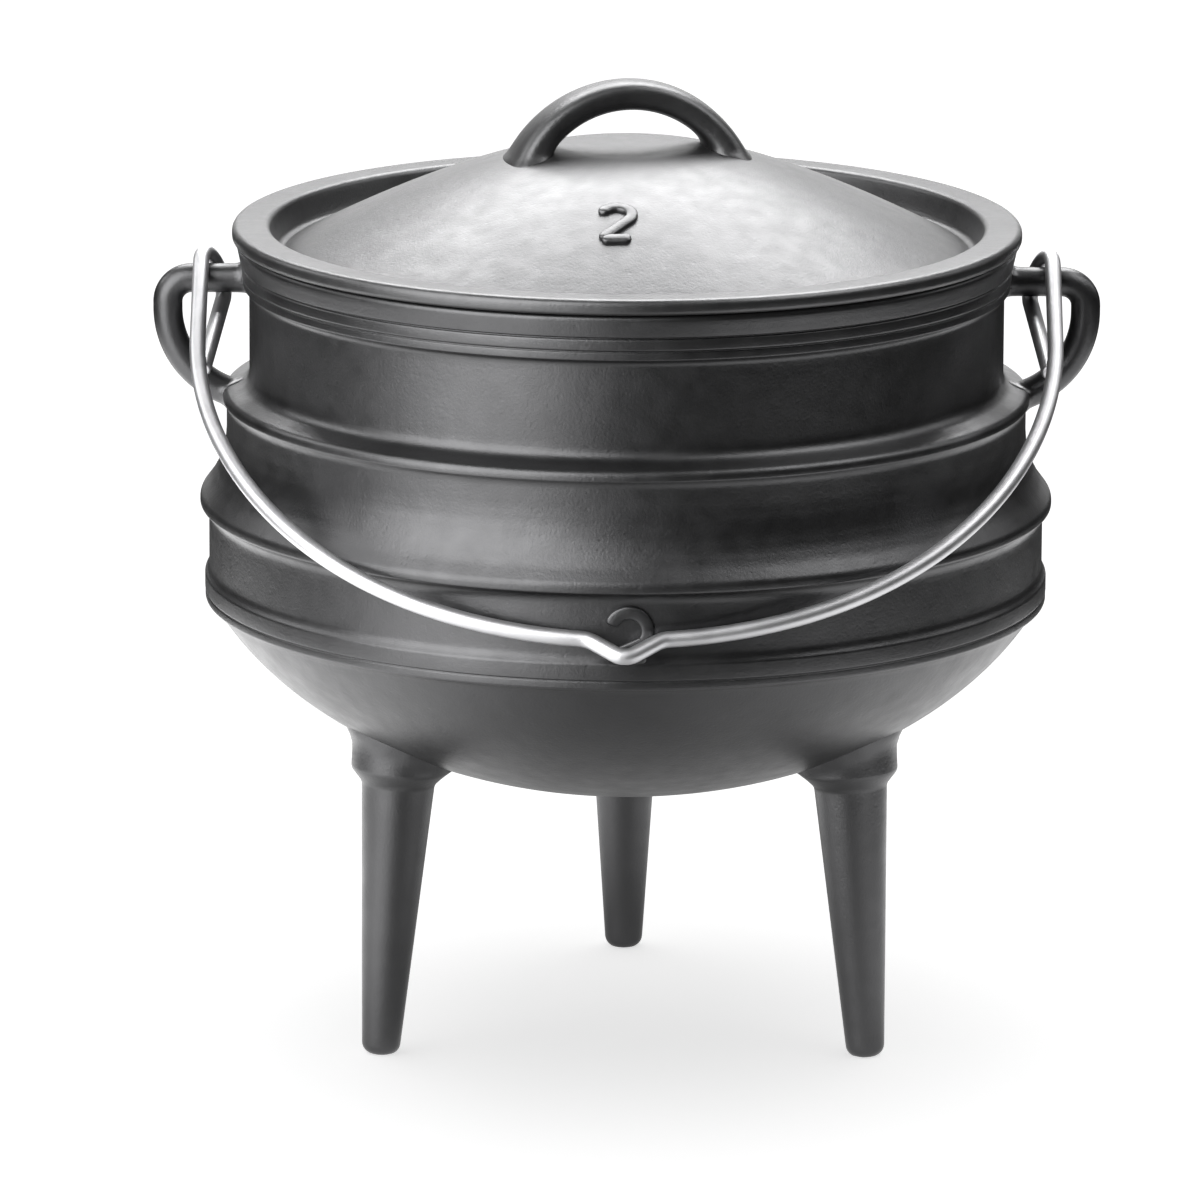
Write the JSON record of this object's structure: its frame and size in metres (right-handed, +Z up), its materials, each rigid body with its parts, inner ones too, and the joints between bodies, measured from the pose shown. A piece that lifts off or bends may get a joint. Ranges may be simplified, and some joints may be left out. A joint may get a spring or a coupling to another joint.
{
  "type": "potjie pot",
  "caption": "Round-bellied cast iron cooking pot with ribs, three tapered legs, side ears, a domed lid with an arched handle, and a swinging wire bail with a central kink.",
  "frame": {"origin": "on the floor, in the middle of the object's footprint; the pot's own axis stands 3.7 mm behind it (+Y), because the bail leans out in front", "axes": "+Z up along the pot's axis, X along the hinge line through both ears, -Y towards the side where the bail rests, one leg at +Y"},
  "size_m": [0.2846, 0.2641, 0.2902],
  "materials": {
    "pot_iron": "matte sand-cast",
    "lid_iron": "matte sand-cast",
    "bail_wire": "bright drawn wire"
  },
  "bodies": {
    "pot": {"pot": "pot_iron", "lid": "lid_iron"},
    "bail": {"bail": "bail_wire"}
  },
  "joints": [
    {"name": "bail_swing", "type": "hinge", "parent": "pot", "child": "bail", "pos_m": [0, 0.00368, 0.2292], "axis": [-1, 0, 0], "range_deg": [0, 244.5]}
  ]
}
